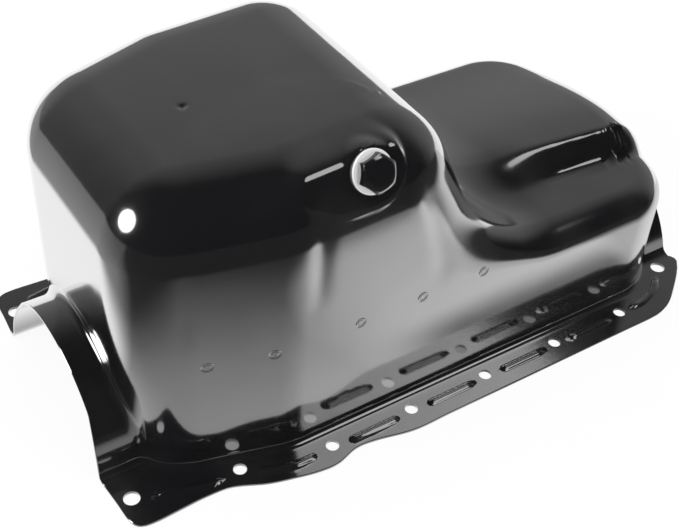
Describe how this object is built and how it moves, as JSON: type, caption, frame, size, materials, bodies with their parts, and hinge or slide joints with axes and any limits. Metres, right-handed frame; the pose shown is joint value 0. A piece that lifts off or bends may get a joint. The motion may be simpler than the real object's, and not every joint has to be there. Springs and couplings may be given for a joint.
{
  "type": "engine oil pan",
  "caption": "Deep-drawn black steel sump with bolt rails, arched ends, a deep sump, a shallow end and a hex drain plug",
  "frame": {"origin": "middle of the flange outline on the gasket face", "axes": "+X from the deep sump to the shallow end, +Y across the rails, +Z from the gasket face to the sump floor"},
  "size_m": [0.4206, 0.2472, 0.1891],
  "materials": {
    "pan_paint": "gloss black paint",
    "nut_steel": "plain zinc-plated steel",
    "washer_metal": "bright soft metal",
    "plug_black": "black oxide and paint"
  },
  "bodies": {
    "pan": {"pan_shell": "pan_paint", "sump_baffle": "pan_paint", "drain_nut": "nut_steel"},
    "washer": {"drain_washer": "washer_metal"},
    "plug": {"drain_plug": "plug_black"}
  },
  "joints": [
    {"name": "washer_lift", "type": "slide", "parent": "pan", "child": "washer", "axis": [0, -0.9135, 0.4067], "range_m": [0, 0.0254]},
    {"name": "plug_turn", "type": "hinge", "parent": "washer", "child": "plug", "pos_m": [-0.0545, -0.08836, 0.17542], "axis": [0, -0.9135, 0.4067], "range_deg": [0, 7560]}
  ],
  "couplings": [
    {"joint": "plug_turn", "follows": "washer_lift", "rad_per_m": 4947.4}
  ]
}
